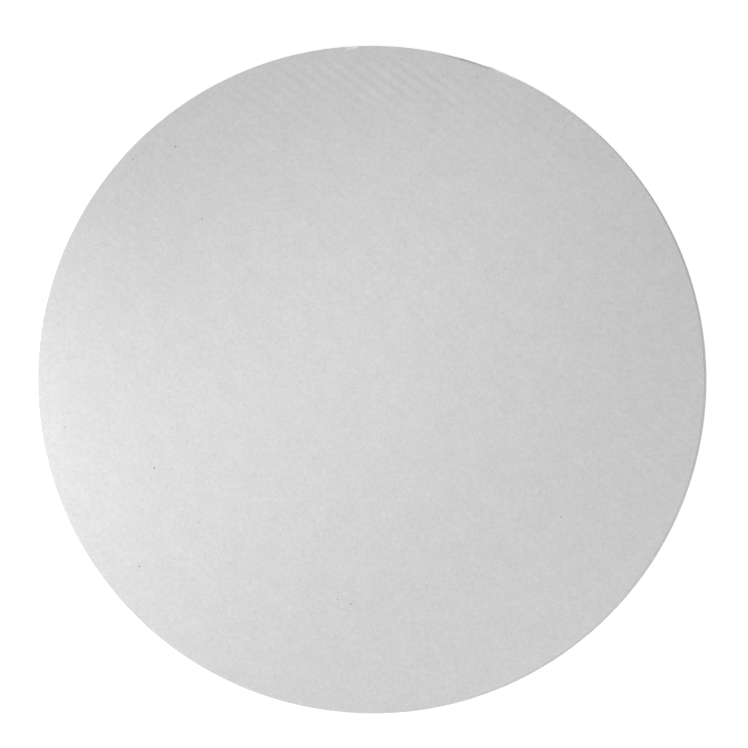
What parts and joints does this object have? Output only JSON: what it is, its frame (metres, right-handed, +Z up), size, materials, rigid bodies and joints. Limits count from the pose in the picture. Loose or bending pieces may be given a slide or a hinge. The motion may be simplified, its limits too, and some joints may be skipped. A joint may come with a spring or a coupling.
{
  "type": "pizza circle",
  "caption": "Round sheet of single-wall corrugated board with open flutes at its cut edge, for carrying and serving a pizza.",
  "frame": {"origin": "centre of the underside", "axes": "+Z up through the board's thickness, +Y towards the torn and crushed stretch of the edge; the flutes run 37.3 degrees below +X"},
  "size_m": [0.4064, 0.4064, 0.003],
  "materials": {
    "board": "matte"
  },
  "bodies": {
    "root": {"board": "board"}
  },
  "joints": []
}
